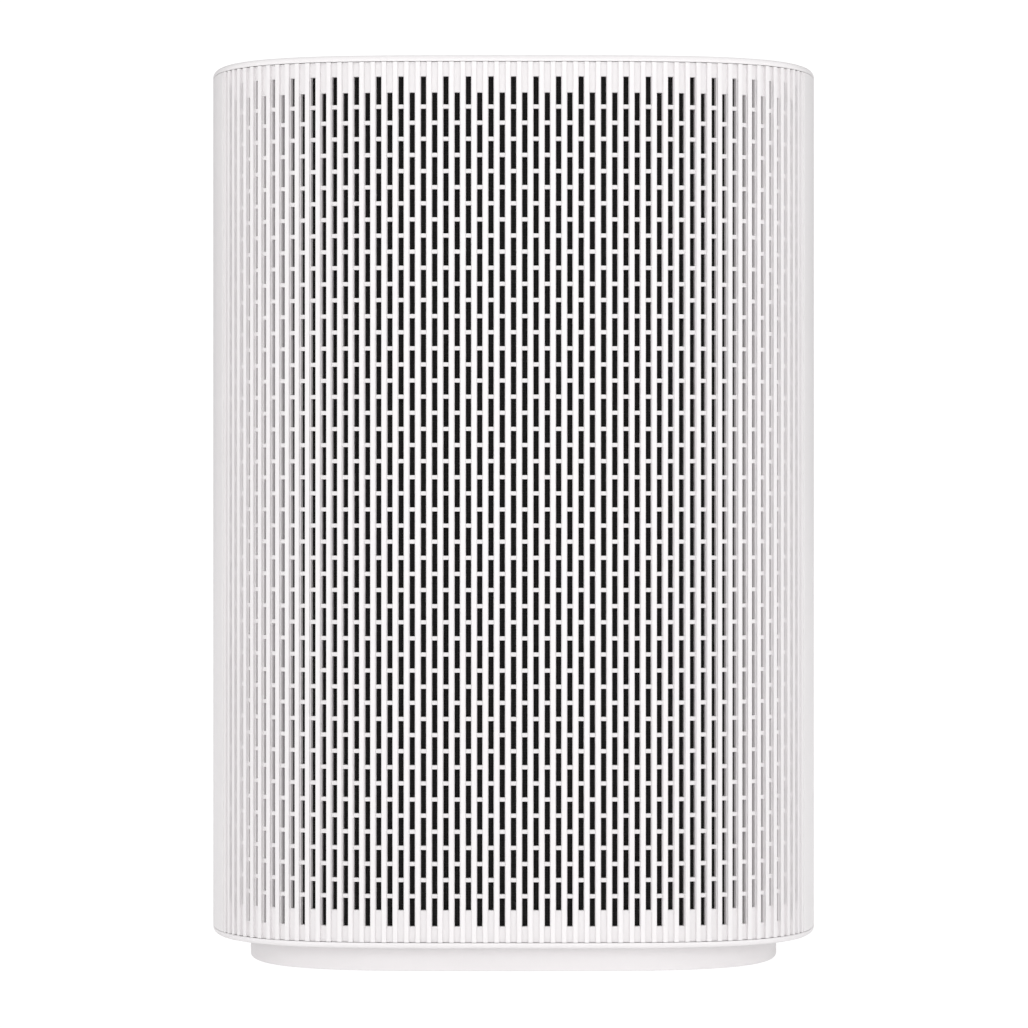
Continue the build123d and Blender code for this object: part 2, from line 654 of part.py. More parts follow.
def side_panel(side):
    """One side panel with its screw flanges, grip cut-out and, on the right, the door's cut-out."""
    with BuildPart() as panel:
        with BuildSketch(Plane.XY.offset(SHELL_BOTTOM)):
            squircle(HALF)
            squircle(HALF - PANEL_WALL, Mode.SUBTRACT)
            with Locations((side * HALF, 0)):
                Rectangle(PANEL_REACH, 2 * PANEL_END, mode=Mode.INTERSECT)
        extrude(amount=SHELL_HEIGHT)
        for end in (-1, 1):
            with BuildSketch(Plane.XY.offset(FLANGE_BOTTOM)):
                squircle(HALF - PANEL_WALL / 2)
                with Locations((side * HALF, end * (FLANGE_BACK - FLANGE_THICKNESS / 2))):
                    Rectangle(2 * (HALF - FLANGE_INNER), FLANGE_THICKNESS, mode=Mode.INTERSECT)
            extrude(amount=FLANGE_TOP - FLANGE_BOTTOM)
        with BuildSketch(Plane.XZ.offset(-WIDTH / 2)):
            for level in POST_SCREW_LEVELS:
                with Locations((side * POST_SCREW_X, level)):
                    Circle(M3_RADIUS + CLEARANCE)
        extrude(amount=WIDTH, mode=Mode.SUBTRACT)
        with BuildSketch(Plane.YZ.offset(side * (HALF - PANEL_REACH / 4))):
            with Locations((0, GRIP_LEVEL)):
                RectangleRounded(GRIP_WIDTH, GRIP_HEIGHT, GRIP_ROUND)
        extrude(amount=side * PANEL_REACH, mode=Mode.SUBTRACT)
        if side > 0:
            with BuildSketch(Plane.YZ.offset(HALF - PANEL_REACH / 4)):
                with Locations((0, DOOR_BOTTOM + DOOR_HEIGHT / 2)):
                    Rectangle(DOOR_WIDTH + 2 * DOOR_GAP, DOOR_HEIGHT + 2 * DOOR_GAP)
            extrude(amount=PANEL_REACH, mode=Mode.SUBTRACT)
            with BuildSketch(Plane.XZ.offset(-DOOR_WIDTH / 2 - HINGE_HOLE)):
                with Locations((HINGE_X, HINGE_Z)):
                    Circle(HINGE_PIN_RADIUS + HINGE_HOLE_FIT)
            extrude(amount=DOOR_WIDTH + 2 * HINGE_HOLE, mode=Mode.SUBTRACT)
    return panel


def grip_cup(side):
    """The moulded cup behind a grip cut-out, open to the outside."""
    flange_front = HALF - PANEL_WALL - GRIP_FLANGE_GAP
    flange_back = flange_front - GRIP_WALL
    with BuildPart() as cup:
        for start, grow, depth in (
            (flange_front, GRIP_FLANGE, GRIP_WALL),
            (flange_back, GRIP_WALL, GRIP_DEPTH),
        ):
            with BuildSketch(Plane.YZ.offset(side * start)):
                with Locations((0, GRIP_LEVEL)):
                    RectangleRounded(GRIP_WIDTH + 2 * grow, GRIP_HEIGHT + 2 * grow, GRIP_ROUND + grow)
            extrude(amount=-side * depth)
        with BuildSketch(Plane.YZ.offset(side * HALF)):
            with Locations((0, GRIP_LEVEL)):
                RectangleRounded(GRIP_WIDTH, GRIP_HEIGHT, GRIP_ROUND)
        extrude(amount=-side * (HALF - flange_back + GRIP_DEPTH - GRIP_WALL), mode=Mode.SUBTRACT)
    return cup


for name, side in (("left", -1), ("right", 1)):
    keep(side_panel(side), f"side_panel_{name}")
    keep(grip_cup(side), f"grip_cup_{name}")

with BuildPart() as side_panel_screws:
    head_level = FLANGE_BACK - FLANGE_THICKNESS
    for end in (-1, 1):
        with BuildSketch(Plane.XZ.offset(end * head_level)):
            for level in POST_SCREW_LEVELS:
                with Locations((-POST_SCREW_X, level), (POST_SCREW_X, level)):
                    Circle(M3_HEAD)
        extrude(amount=-end * M3_HEAD_HEIGHT)
        with BuildSketch(Plane.XZ.offset(end * head_level)):
            for level in POST_SCREW_LEVELS:
                with Locations((-POST_SCREW_X, level), (POST_SCREW_X, level)):
                    Circle(M3_RADIUS)
        extrude(amount=end * PANEL_SCREW_LENGTH)
keep(side_panel_screws, "side_panel_screws")

with BuildPart() as sensor_door:
    with BuildSketch(Plane.XZ.offset(-DOOR_WIDTH / 2)):
        with Locations((HINGE_X, HINGE_Z)):
            Circle(KNUCKLE_RADIUS)
        with Locations((DOOR_OUTER - DOOR_THICKNESS / 2, (HINGE_Z + DOOR_BOTTOM + DOOR_HEIGHT) / 2)):
            Rectangle(DOOR_THICKNESS, DOOR_BOTTOM + DOOR_HEIGHT - HINGE_Z)
        with Locations((HINGE_X, HINGE_Z)):
            Circle(HINGE_PIN_RADIUS + RUNNING_FIT, mode=Mode.SUBTRACT)
    extrude(amount=DOOR_WIDTH)
    with BuildSketch(Plane.YZ.offset(HALF)):
        with Locations((0, DOOR_BOTTOM + DOOR_HEIGHT / 2 + HINGE_HOLE)):
            with GridLocations(DOOR_SLOT_PITCH, 0, DOOR_SLOTS, 1):
                SlotOverall(DOOR_SLOT_LENGTH, DOOR_SLOT_WIDTH, rotation=90)
    extrude(amount=-2 * DOOR_THICKNESS, mode=Mode.SUBTRACT)
keep(sensor_door, "sensor_door")

with BuildPart() as sensor_door_pin:
    with BuildSketch(Plane.XZ.offset(-DOOR_WIDTH / 2 - HINGE_PIN_REACH)):
        with Locations((HINGE_X, HINGE_Z)):
            Circle(HINGE_PIN_RADIUS)
    extrude(amount=DOOR_WIDTH + 2 * HINGE_PIN_REACH)
keep(sensor_door_pin, "sensor_door_pin")

with BuildPart() as particle_sensor:
    with BuildSketch(Plane.YZ.offset(SENSOR_FLOOR - SENSOR_BACK)):
        with Locations((0, DOOR_BOTTOM + DOOR_HEIGHT / 2)):
            Rectangle(SENSOR_WIDTH, SENSOR_HEIGHT)
    extrude(amount=SENSOR_BACK + SENSOR_FRONT)
    with BuildSketch(Plane.YZ.offset(SENSOR_FLOOR + SENSOR_FRONT)):
        with Locations((-10, DOOR_BOTTOM + DOOR_HEIGHT / 2 + 4)):
            Circle(SENSOR_PORT)
    extrude(amount=-SENSOR_FRONT, mode=Mode.SUBTRACT)
keep(particle_sensor, "particle_sensor")

# ---------------------------------------------------------------- fan section

DECK_HALF = 187.0
DECK_HOLE = 105.0
POST_HOLE_GAP = 0.4
HOUSING_FLANGE = 174.0
HOUSING_TOP = 571.0
DECK_SCREWS = 8
MOUNT_SCREWS = 6
DECK_SCREW_CIRCLE = 169.5
MOUNT_SCREW_CIRCLE = 157.8
MOTOR_SCREWS = 4
MOTOR_SCREW_CIRCLE = 30.0
DECK_SCREW_TURN = 22.5
FLANGE = 3.0  # thickness of the fan section's flanges and plates
LEDGE_THICKNESS = 6.0

post_hole_width = POST_OUTER - WALL_OUTER + 2 * POST_HOLE_GAP
post_hole_depth = POST_FRONT - POST_BACK + 2 * POST_HOLE_GAP

with BuildPart() as fan_deck:
    with BuildSketch(Plane.XY.offset(DECK_BOTTOM)):
        squircle(DECK_HALF)
        Rectangle(2 * WALL_OUTER + 2, WIDTH, mode=Mode.INTERSECT)
        with GridLocations(WALL_OUTER + POST_OUTER, POST_FRONT + POST_BACK, 2, 2):
            Rectangle(post_hole_width, post_hole_depth, mode=Mode.SUBTRACT)
        Circle(HOUSING_FLANGE + 1)
        Circle(DECK_HOLE, mode=Mode.SUBTRACT)
        with PolarLocations(DECK_SCREW_CIRCLE, DECK_SCREWS, start_angle=DECK_SCREW_TURN):
            Circle(M3_RADIUS + RUNNING_FIT, mode=Mode.SUBTRACT)
    extrude(amount=DECK_TOP - DECK_BOTTOM)
keep(fan_deck, "fan_deck")

GUARD_BAR = 2.5

with BuildPart() as intake_guard:
    with BuildSketch(Plane.XY.offset(DECK_BOTTOM)):
        Circle(DECK_HOLE + 8)
        Circle(DECK_HOLE - 1, mode=Mode.SUBTRACT)
        for radius in range(18, 104, 14):
            Circle(radius + GUARD_BAR / 2)
            Circle(radius - GUARD_BAR / 2, mode=Mode.SUBTRACT)
        with PolarLocations((DECK_HOLE + 17) / 2, 8):
            Rectangle(DECK_HOLE - 17 + 2, GUARD_BAR)
    extrude(amount=-GUARD_BAR)
keep(intake_guard, "intake_guard")

with BuildPart() as bell_mouth:
    with BuildSketch(Plane.XZ):
        with BuildLine():
            lip = Line((INTAKE_RADIUS, 494), (INTAKE_RADIUS + 2, 494))
            outer = RadiusArc(lip @ 1, (INTAKE_RADIUS + 14, DECK_TOP + 2), -12.5)
            flange = Polyline(
                outer @ 1,
                (DECK_HOLE + 14, DECK_TOP + 2),
                (DECK_HOLE + 14, DECK_TOP),
                (INTAKE_RADIUS + 12, DECK_TOP),
            )
            RadiusArc(flange @ 1, lip @ 0, 14.5)
        make_face()
    revolve(axis=Axis.Z)
keep(bell_mouth, "bell_mouth")

with BuildPart() as fan_housing:
    with BuildSketch(Plane.XY.offset(DECK_TOP)):
        Circle(HOUSING_OUTER)
        Circle(HOUSING_INNER, mode=Mode.SUBTRACT)
    extrude(amount=HOUSING_TOP - DECK_TOP)
    with BuildSketch(Plane.XY.offset(DECK_TOP)):
        Circle(HOUSING_FLANGE)
        Circle(HOUSING_INNER, mode=Mode.SUBTRACT)
        with PolarLocations(DECK_SCREW_CIRCLE, DECK_SCREWS, start_angle=DECK_SCREW_TURN):
            Circle(M3_RADIUS + CLEARANCE, mode=Mode.SUBTRACT)
    extrude(amount=FLANGE)
    with BuildSketch(Plane.XY.offset(MOUNT_BOTTOM - LEDGE_THICKNESS)):
        Circle(HOUSING_OUTER)
        Circle(LEDGE_INNER, mode=Mode.SUBTRACT)
        with PolarLocations(MOUNT_SCREW_CIRCLE, MOUNT_SCREWS):
            Circle(M3_RADIUS + RUNNING_FIT, mode=Mode.SUBTRACT)
    extrude(amount=LEDGE_THICKNESS)
keep(fan_housing, "fan_housing")

MOTOR_RADIUS = 41.0
MOTOR_BOTTOM = 508.0
HUB_RADIUS = 48.0
HUB_BOTTOM = 503.0
BACKPLATE_BOTTOM = 535.0
BACKPLATE_TOP = 538.0
SHROUD_BOTTOM = 496.0
BLADES = 11
VANES = 9
BEARING_RADIUS = 11.0
SHAFT_TOP = 531.0
SHAFT_BOTTOM = 495.0

HUB_WALL = 3.0
NUT_RADIUS = 7.5
NUT_HEIGHT = 6.0
BEARING_HEIGHT = 7.0
HUB_FIT = 0.02  # pressed on the shaft, and the bearings in the can
BLADE_THICKNESS = 2.4
VANE_THICKNESS = 2.4
MOUNT_RING = 5.0
MOUNT_PLATE_RADIUS = 52.0

blade_line = ThreePointArc((72, 0), (100, 15), (124, 43))
vane_line = ThreePointArc((50, 0), (104, 20), (157, 4))

with BuildPart() as impeller:
    with BuildSketch(Plane.XY.offset(BACKPLATE_BOTTOM)):
        Circle(IMPELLER_RADIUS)
        Circle(HUB_RADIUS - HUB_WALL, mode=Mode.SUBTRACT)
    extrude(amount=BACKPLATE_TOP - BACKPLATE_BOTTOM)
    with BuildSketch(Plane.XY.offset(HUB_BOTTOM)):
        Circle(HUB_RADIUS)
        Circle(HUB_RADIUS - HUB_WALL, mode=Mode.SUBTRACT)
    extrude(amount=BACKPLATE_TOP - HUB_BOTTOM)
    with BuildSketch(Plane.XY.offset(HUB_BOTTOM)):
        Circle(HUB_RADIUS)
        Circle(SHAFT_RADIUS + HUB_FIT, mode=Mode.SUBTRACT)
    extrude(amount=FLANGE)
    with BuildSketch(Plane.XY.offset(SHROUD_BOTTOM)):
        Circle(IMPELLER_RADIUS)
        Circle(INTAKE_RADIUS + 4, mode=Mode.SUBTRACT)
    extrude(amount=FLANGE)
    with BuildSketch(Plane.XY.offset(SHROUD_BOTTOM + 1)):
        with PolarLocations(0, BLADES):
            SlotArc(blade_line, BLADE_THICKNESS)
    extrude(amount=BACKPLATE_TOP - 1 - SHROUD_BOTTOM - 1)
keep(impeller, "impeller")

with BuildPart() as motor_shaft:
    with BuildSketch(Plane.XY.offset(SHAFT_BOTTOM)):
        Circle(SHAFT_RADIUS)
    extrude(amount=SHAFT_TOP - SHAFT_BOTTOM)
    chamfer(motor_shaft.faces().sort_by(Axis.Z)[0].edges(), 0.6)
keep(motor_shaft, "motor_shaft")

with BuildPart() as hub_nut:
    with BuildSketch(Plane.XY.offset(HUB_BOTTOM - NUT_HEIGHT)):
        RegularPolygon(NUT_RADIUS, 6)
        Circle(SHAFT_RADIUS + HUB_FIT, mode=Mode.SUBTRACT)
    extrude(amount=NUT_HEIGHT)
keep(hub_nut, "hub_nut")

with BuildPart() as motor_can:
    with BuildSketch(Plane.XY.offset(MOTOR_BOTTOM)):
        Circle(MOTOR_RADIUS)
    extrude(amount=MOUNT_BOTTOM - MOTOR_BOTTOM)
    fillet(motor_can.faces().sort_by(Axis.Z)[0].edges(), 2)
    with BuildSketch(Plane.XY.offset(MOTOR_BOTTOM)):
        Circle(BEARING_RADIUS + HUB_FIT)
    extrude(amount=SHAFT_TOP + 1 - MOTOR_BOTTOM, mode=Mode.SUBTRACT)
    with BuildSketch(Plane.XY.offset(MOUNT_BOTTOM)):
        with PolarLocations(MOTOR_SCREW_CIRCLE, MOTOR_SCREWS):
            Circle(M3_RADIUS + RUNNING_FIT)
    extrude(amount=-POST_SCREW_DEPTH, mode=Mode.SUBTRACT)
keep(motor_can, "motor_can")

with BuildPart() as motor_bearings:
    for level in (MOTOR_BOTTOM + 0.5, SHAFT_TOP - BEARING_HEIGHT):
        with BuildSketch(Plane.XY.offset(level)):
            Circle(BEARING_RADIUS)
            Circle(SHAFT_RADIUS + RUNNING_FIT, mode=Mode.SUBTRACT)
        extrude(amount=BEARING_HEIGHT)
keep(motor_bearings, "motor_bearings")

with BuildPart() as motor_mount:
    with BuildSketch(Plane.XY.offset(MOUNT_BOTTOM)):
        Circle(HOUSING_INNER - TOUCH_GAP)
        Circle(LEDGE_INNER, mode=Mode.SUBTRACT)
        with PolarLocations(MOUNT_SCREW_CIRCLE, MOUNT_SCREWS):
            Circle(M3_RADIUS + CLEARANCE, mode=Mode.SUBTRACT)
    extrude(amount=MOUNT_RING)
    with BuildSketch(Plane.XY.offset(MOUNT_BOTTOM)):
        Circle(MOUNT_PLATE_RADIUS)
        with PolarLocations(MOTOR_SCREW_CIRCLE, MOTOR_SCREWS):
            Circle(M3_RADIUS + CLEARANCE, mode=Mode.SUBTRACT)
    extrude(amount=FLANGE)
    with BuildSketch(Plane.XY.offset(MOUNT_BOTTOM)):
        with PolarLocations(0, VANES, start_angle=10):
            SlotArc(vane_line, VANE_THICKNESS)
    extrude(amount=MOUNT_RING)
keep(motor_mount, "motor_mount")

with BuildPart() as fan_screws:
    for seat, radius, count, start, length in (
        (DECK_TOP + FLANGE, DECK_SCREW_CIRCLE, DECK_SCREWS, DECK_SCREW_TURN, 7),
        (MOUNT_BOTTOM + MOUNT_RING, MOUNT_SCREW_CIRCLE, MOUNT_SCREWS, 0, 11),
        (MOUNT_BOTTOM + FLANGE, MOTOR_SCREW_CIRCLE, MOTOR_SCREWS, 0, 12),
    ):
        with BuildSketch(Plane.XY.offset(seat)):
            with PolarLocations(radius, count, start_angle=start):
                Circle(M3_HEAD)
        extrude(amount=M3_HEAD_HEIGHT)
        with BuildSketch(Plane.XY.offset(seat)):
            with PolarLocations(radius, count, start_angle=start):
                Circle(M3_RADIUS)
        extrude(amount=-length)
keep(fan_screws, "fan_screws")

# ---------------------------------------------------------------- top cap, outlet and controls

COLLAR_WALL = 3.0
COLLAR_BOTTOM = 560.0
FIN_WIDTH = 2.0
RING_WIDTH = 2.4
INNER_FINS = 48
OUTER_FINS = 96
FIN_CHANGE = 100.0
HUB_RING = PUCK_RADIUS + 0.5
HUB_RING_OUTER = HUB_RING + 3.5

with BuildPart() as top_cap:
    with BuildSketch(Plane.XY.offset(CAP_BOTTOM)):
        squircle(HALF)
    extrude(amount=HEIGHT - CAP_BOTTOM)
    fillet(top_cap.faces().sort_by(Axis.Z)[-1].edges(), EDGE_ROUND)
    with BuildSketch(Plane.XY.offset(CAP_BOTTOM)):
        squircle(INNER_RIM)
        squircle(INNER_RIM - INNER_RIM_WALL, Mode.SUBTRACT)
    extrude(amount=-INNER_RIM_HEIGHT)
    with BuildSketch(Plane.XY.offset(CAP_BOTTOM)):
        with GridLocations(WALL_OUTER + POST_OUTER, POST_FRONT + POST_BACK, 2, 2):
            Rectangle(POST_OUTER - WALL_OUTER - 2, POST_FRONT - POST_BACK - 2)
    extrude(amount=-POST_TOP_GAP)
    with BuildSketch(Plane.XY.offset(COLLAR_BOTTOM)):
        Circle(OUTLET_RADIUS + COLLAR_WALL)
    extrude(amount=CAP_BOTTOM - COLLAR_BOTTOM)
    with BuildSketch(Plane.XY.offset(COLLAR_BOTTOM)):
        Circle(OUTLET_RADIUS)
    extrude(amount=HEIGHT - COLLAR_BOTTOM, mode=Mode.SUBTRACT)
    chamfer(top_cap.edges().filter_by(GeomType.CIRCLE).group_by(Axis.Z)[-1], 0.8)
    with BuildSketch(Plane.XY.offset(GRILLE_BOTTOM)):
        Circle(OUTLET_RADIUS + COLLAR_WALL)
        Circle(LEDGE_INNER, mode=Mode.SUBTRACT)
    extrude(amount=-COLLAR_WALL)
keep(top_cap, "top_cap")

with BuildPart() as outlet_grille:
    with BuildSketch(Plane.XY.offset(GRILLE_BOTTOM)):
        Circle(OUTLET_RADIUS - TOUCH_GAP)
        Circle(LEDGE_INNER + 0.5, mode=Mode.SUBTRACT)
        Circle(FIN_CHANGE + RING_WIDTH / 2)
        Circle(FIN_CHANGE - RING_WIDTH / 2, mode=Mode.SUBTRACT)
        Circle(HUB_RING_OUTER)
        Circle(HUB_RING, mode=Mode.SUBTRACT)
    extrude(amount=GRILLE_TOP - GRILLE_BOTTOM)
    with BuildSketch(Plane.XY.offset(GRILLE_BOTTOM + 0.5)):
        with PolarLocations((HUB_RING_OUTER + FIN_CHANGE) / 2, INNER_FINS):
            Rectangle(FIN_CHANGE - HUB_RING_OUTER + 1, FIN_WIDTH)
        with PolarLocations((FIN_CHANGE + LEDGE_INNER) / 2, OUTER_FINS):
            Rectangle(LEDGE_INNER - FIN_CHANGE + 1.4, FIN_WIDTH)
    extrude(amount=GRILLE_TOP - GRILLE_BOTTOM - 1)
keep(outlet_grille, "outlet_grille")

PUCK_BOTTOM = 563.0
PUCK_WALL = 2.0
LENS_BOTTOM = 580.0
LENS_TOP = 581.8
BUTTON_TOP = 581.6
BUTTON_LIP = 9.5
LIP_BOTTOM = 575.8
LIP_TOP = 577.8
CONTROL_BOARD_Z = 569.0
SWITCH_HEIGHT = 4.0
BUTTON_Y = -22.0
BUTTON_GAP = 0.3
WINDOW_Y = 12.0  # the display, behind the lens
DISPLAY_WIDTH = 50.0
DISPLAY_HEIGHT = 22.0
PUCK_SCREW_CIRCLE = PUCK_RADIUS - 7
PUCK_SCREW_TURN = 30.0

with BuildPart() as control_housing:
    with BuildSketch(Plane.XY.offset(PUCK_BOTTOM)):
        Circle(PUCK_RADIUS)
    extrude(amount=LENS_BOTTOM - PUCK_BOTTOM)
    with BuildSketch(Plane.XY.offset(PUCK_BOTTOM)):
        Circle(PUCK_RADIUS - PUCK_WALL)
    extrude(amount=LENS_BOTTOM - PUCK_WALL - PUCK_BOTTOM, mode=Mode.SUBTRACT)
    with BuildSketch(Plane.XY.offset(LENS_BOTTOM)):
        with Locations((-BUTTON_X, BUTTON_Y), (BUTTON_X, BUTTON_Y)):
            Circle(BUTTON_RADIUS + BUTTON_GAP)
        with Locations((0, WINDOW_Y)):
            RectangleRounded(DISPLAY_WIDTH, DISPLAY_HEIGHT, 3)
    extrude(amount=-PUCK_WALL, mode=Mode.SUBTRACT)
    with BuildSketch(Plane.XY.offset(PUCK_BOTTOM)):
        with PolarLocations(PUCK_SCREW_CIRCLE, 3, start_angle=PUCK_SCREW_TURN):
            Circle(4)
    extrude(amount=LENS_BOTTOM - PUCK_WALL - PUCK_BOTTOM)
    with BuildSketch(Plane.XY.offset(PUCK_BOTTOM)):
        with PolarLocations(PUCK_SCREW_CIRCLE, 3, start_angle=PUCK_SCREW_TURN):
            Circle(1.6)
    extrude(amount=10, mode=Mode.SUBTRACT)
keep(control_housing, "control_housing")

with BuildPart() as display_lens:
    with BuildSketch(Plane.XY.offset(LENS_BOTTOM)):
        Circle(PUCK_RADIUS - 0.5)
        with Locations((-BUTTON_X, BUTTON_Y), (BUTTON_X, BUTTON_Y)):
            Circle(BUTTON_RADIUS + BUTTON_GAP, mode=Mode.SUBTRACT)
    extrude(amount=LENS_TOP - LENS_BOTTOM)
    chamfer(display_lens.edges().filter_by(GeomType.CIRCLE).group_by(Axis.Z)[-1], 0.3)
keep(display_lens, "display_lens")

for name, x in (("power_button", -BUTTON_X), ("mode_button", BUTTON_X)):
    with BuildPart() as button:
        with BuildSketch(Plane.XY.offset(LIP_BOTTOM)):
            with Locations((x, BUTTON_Y)):
                Circle(BUTTON_RADIUS)
        extrude(amount=BUTTON_TOP - LIP_BOTTOM)
        fillet(button.faces().sort_by(Axis.Z)[-1].edges(), 0.6)
        with BuildSketch(Plane.XY.offset(LIP_BOTTOM)):
            with Locations((x, BUTTON_Y)):
                Circle(BUTTON_LIP)
        extrude(amount=LIP_TOP - LIP_BOTTOM)
    keep(button, name)

with BuildPart() as control_board:
    with BuildSketch(Plane.XY.offset(CONTROL_BOARD_Z)):
        Circle(PUCK_RADIUS - PUCK_WALL - 1)
        with PolarLocations(PUCK_SCREW_CIRCLE, 3, start_angle=PUCK_SCREW_TURN):
            Circle(4.5, mode=Mode.SUBTRACT)
    extrude(amount=BOARD_THICKNESS)
    with BuildSketch(Plane.XY.offset(CONTROL_BOARD_Z + BOARD_THICKNESS)):
        with Locations((-BUTTON_X, BUTTON_Y), (BUTTON_X, BUTTON_Y)):
            Rectangle(6, 6)
        with Locations((0, WINDOW_Y)):
            Rectangle(DISPLAY_WIDTH - 4, DISPLAY_HEIGHT - 4)
    extrude(amount=SWITCH_HEIGHT)
keep(control_board, "control_board")

# ---------------------------------------------------------------- wiring, clipped along the right inner wall

CABLE_RADIUS = 2.5
CABLE_START = 100.0
CABLE_Z = 11.0
CABLE_BEND = 12.0
CABLE_TOP = 540.0
harness_reach = math.hypot(HARNESS_X, HARNESS_Y)
entry = (HOUSING_OUTER + 0.5) / harness_reach

with BuildPart() as wire_harness:
    with BuildLine() as cable_route:
        FilletPolyline(
            (CABLE_START, HARNESS_Y, CABLE_Z),
            (HARNESS_X, HARNESS_Y, CABLE_Z),
            (HARNESS_X, HARNESS_Y, CABLE_TOP),
            (HARNESS_X * entry, HARNESS_Y * entry, CABLE_TOP),
            radius=CABLE_BEND,
        )
    with BuildSketch(Plane.YZ.offset(CABLE_START)):
        with Locations((HARNESS_Y, CABLE_Z)):
            Circle(CABLE_RADIUS)
    sweep(path=cable_route.line)
keep(wire_harness, "wire_harness")
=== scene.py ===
"""Looks of the tower air purifier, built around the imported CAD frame. Metres, in the CAD's own frame."""

import json
import math

import bpy
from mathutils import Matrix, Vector


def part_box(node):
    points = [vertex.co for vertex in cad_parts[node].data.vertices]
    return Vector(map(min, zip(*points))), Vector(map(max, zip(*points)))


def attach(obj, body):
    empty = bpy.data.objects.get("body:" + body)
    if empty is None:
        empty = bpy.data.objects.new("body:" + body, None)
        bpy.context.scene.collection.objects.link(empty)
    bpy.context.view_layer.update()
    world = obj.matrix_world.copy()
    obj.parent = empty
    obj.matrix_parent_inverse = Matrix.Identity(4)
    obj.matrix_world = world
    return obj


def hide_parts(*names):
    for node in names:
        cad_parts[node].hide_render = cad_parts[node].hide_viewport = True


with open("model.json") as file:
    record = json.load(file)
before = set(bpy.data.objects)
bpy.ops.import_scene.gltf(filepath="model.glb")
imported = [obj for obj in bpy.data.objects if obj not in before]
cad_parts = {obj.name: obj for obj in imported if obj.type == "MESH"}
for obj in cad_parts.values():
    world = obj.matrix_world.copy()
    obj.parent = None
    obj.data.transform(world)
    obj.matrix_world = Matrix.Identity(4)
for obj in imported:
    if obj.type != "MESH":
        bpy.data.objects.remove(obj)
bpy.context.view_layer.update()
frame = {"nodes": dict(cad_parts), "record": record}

MM = 0.001

# Plan outline and ribs, the same values as the CAD covers
HALF = 200 * MM
SQUARENESS = 4
RIBS = 60
RIB_PITCH = 7.126 * MM
RIB_WIDTH = 3.0 * MM
RIB_DEPTH = 2.0 * MM
RIB_ROUND = 0.25 * MM
COVER_WALL = 3.65 * MM
COVER_BACK = RIB_DEPTH + COVER_WALL
SLOT_WIDTH = 3.3 * MM
SLOT_LENGTH = 17.75 * MM
SLOT_PITCH = 20.375 * MM
SLOT_ROWS = 26
SLOT_MIDDLE = 300 * MM
SLOT_STAGGER = 5.09 * MM
SLOT_COLUMNS = 28
SLOT_ROUND = 0.25 * MM
ROUND_STEPS = 3
OUTLINE_STEPS = 4000  # in half of the front, for reading distances along it
SHARP_ANGLE = 40  # degrees; edges that turn more than this stay sharp
FLAT_WEIGHT = 100  # how strongly large flat faces decide the shading


# ---------------------------------------------------------------- outline


def outline_point(half, angle):
    """The point of the rounded-square outline in the direction of angle, in radians from +X."""
    across = abs(math.cos(angle)) ** SQUARENESS + abs(math.sin(angle)) ** SQUARENESS
    reach = half / across ** (1 / SQUARENESS)
    return Vector((reach * math.cos(angle), reach * math.sin(angle), 0))


def front_stations():
    """Distances along the outline from the middle of the front, with the angle reached at each."""
    stations = [(0.0, -math.pi / 2)]
    last = outline_point(HALF, -math.pi / 2)
    for i in range(1, OUTLINE_STEPS + 1):
        angle = -math.pi / 2 + i * math.pi / 2 / OUTLINE_STEPS
        point = outline_point(HALF, angle)
        stations.append((stations[-1][0] + (point - last).length, angle))
        last = point
    return stations


STATIONS = front_stations()


def on_front(distance, depth=0.0):
    """The point at a distance along the front outline, sunk by depth."""
    low, high = 0, OUTLINE_STEPS
    while high - low > 1:
        middle = (low + high) // 2
        if STATIONS[middle][0] < abs(distance):
            low = middle
        else:
            high = middle
    (s0, a0), (s1, a1) = STATIONS[low], STATIONS[high]
    point = outline_point(HALF, a0 + (a1 - a0) * (abs(distance) - s0) / (s1 - s0))
    point -= Vector((point.x**3, point.y**3, 0)).normalized() * depth
    if distance < 0:
        point.x = -point.x
    return point


# ---------------------------------------------------------------- mesh helpers


class Mesh:
    """Collects vertices and faces, then becomes an object."""

    def __init__(self):
        self.points = []
        self.faces = []

    def add(self, point, z=None):
        self.points.append((point[0], point[1], point[2] if z is None else z))
        return len(self.points) - 1

    def face(self, *corners):
        self.faces.append(list(corners))

    def strip(self, first, second):
        """Joins two columns of equal length with quads."""
        for i in range(len(first) - 1):
            self.face(first[i], second[i], second[i + 1], first[i + 1])

    def ring(self, first, second):
        """Joins two closed rings of equal length with quads."""
        count = len(first)
        for i in range(count):
            j = (i + 1) % count
            self.face(first[i], first[j], second[j], second[i])

    def build(self, name, mirror_y=False):
        points = [(x, -y, z) for x, y, z in self.points] if mirror_y else self.points
        faces = [f[::-1] for f in self.faces] if mirror_y else self.faces
        data = bpy.data.meshes.new(name)
        data.from_pydata(points, [], faces)
        data.validate()
        data.update()
        made = bpy.data.objects.new(name, data)
        bpy.context.scene.collection.objects.link(made)
        return made


def quarter(steps):
    """(sine, 1 - cosine) pairs of a quarter turn, from flat to upright."""
    for i in range(steps + 1):
        angle = i * math.pi / 2 / steps
        yield math.sin(angle), 1 - math.cos(angle)


def soften(piece):
    """Smooth shading that keeps sharp edges sharp and flat faces flat."""
    data = piece.data
    for polygon in data.polygons:
        polygon.use_smooth = True
    data.set_sharp_from_angle(angle=math.radians(SHARP_ANGLE))
    weighted = piece.modifiers.new("even_normals", "WEIGHTED_NORMAL")
    weighted.keep_sharp = True
    weighted.weight = FLAT_WEIGHT
    return piece


# ---------------------------------------------------------------- ribbed cover


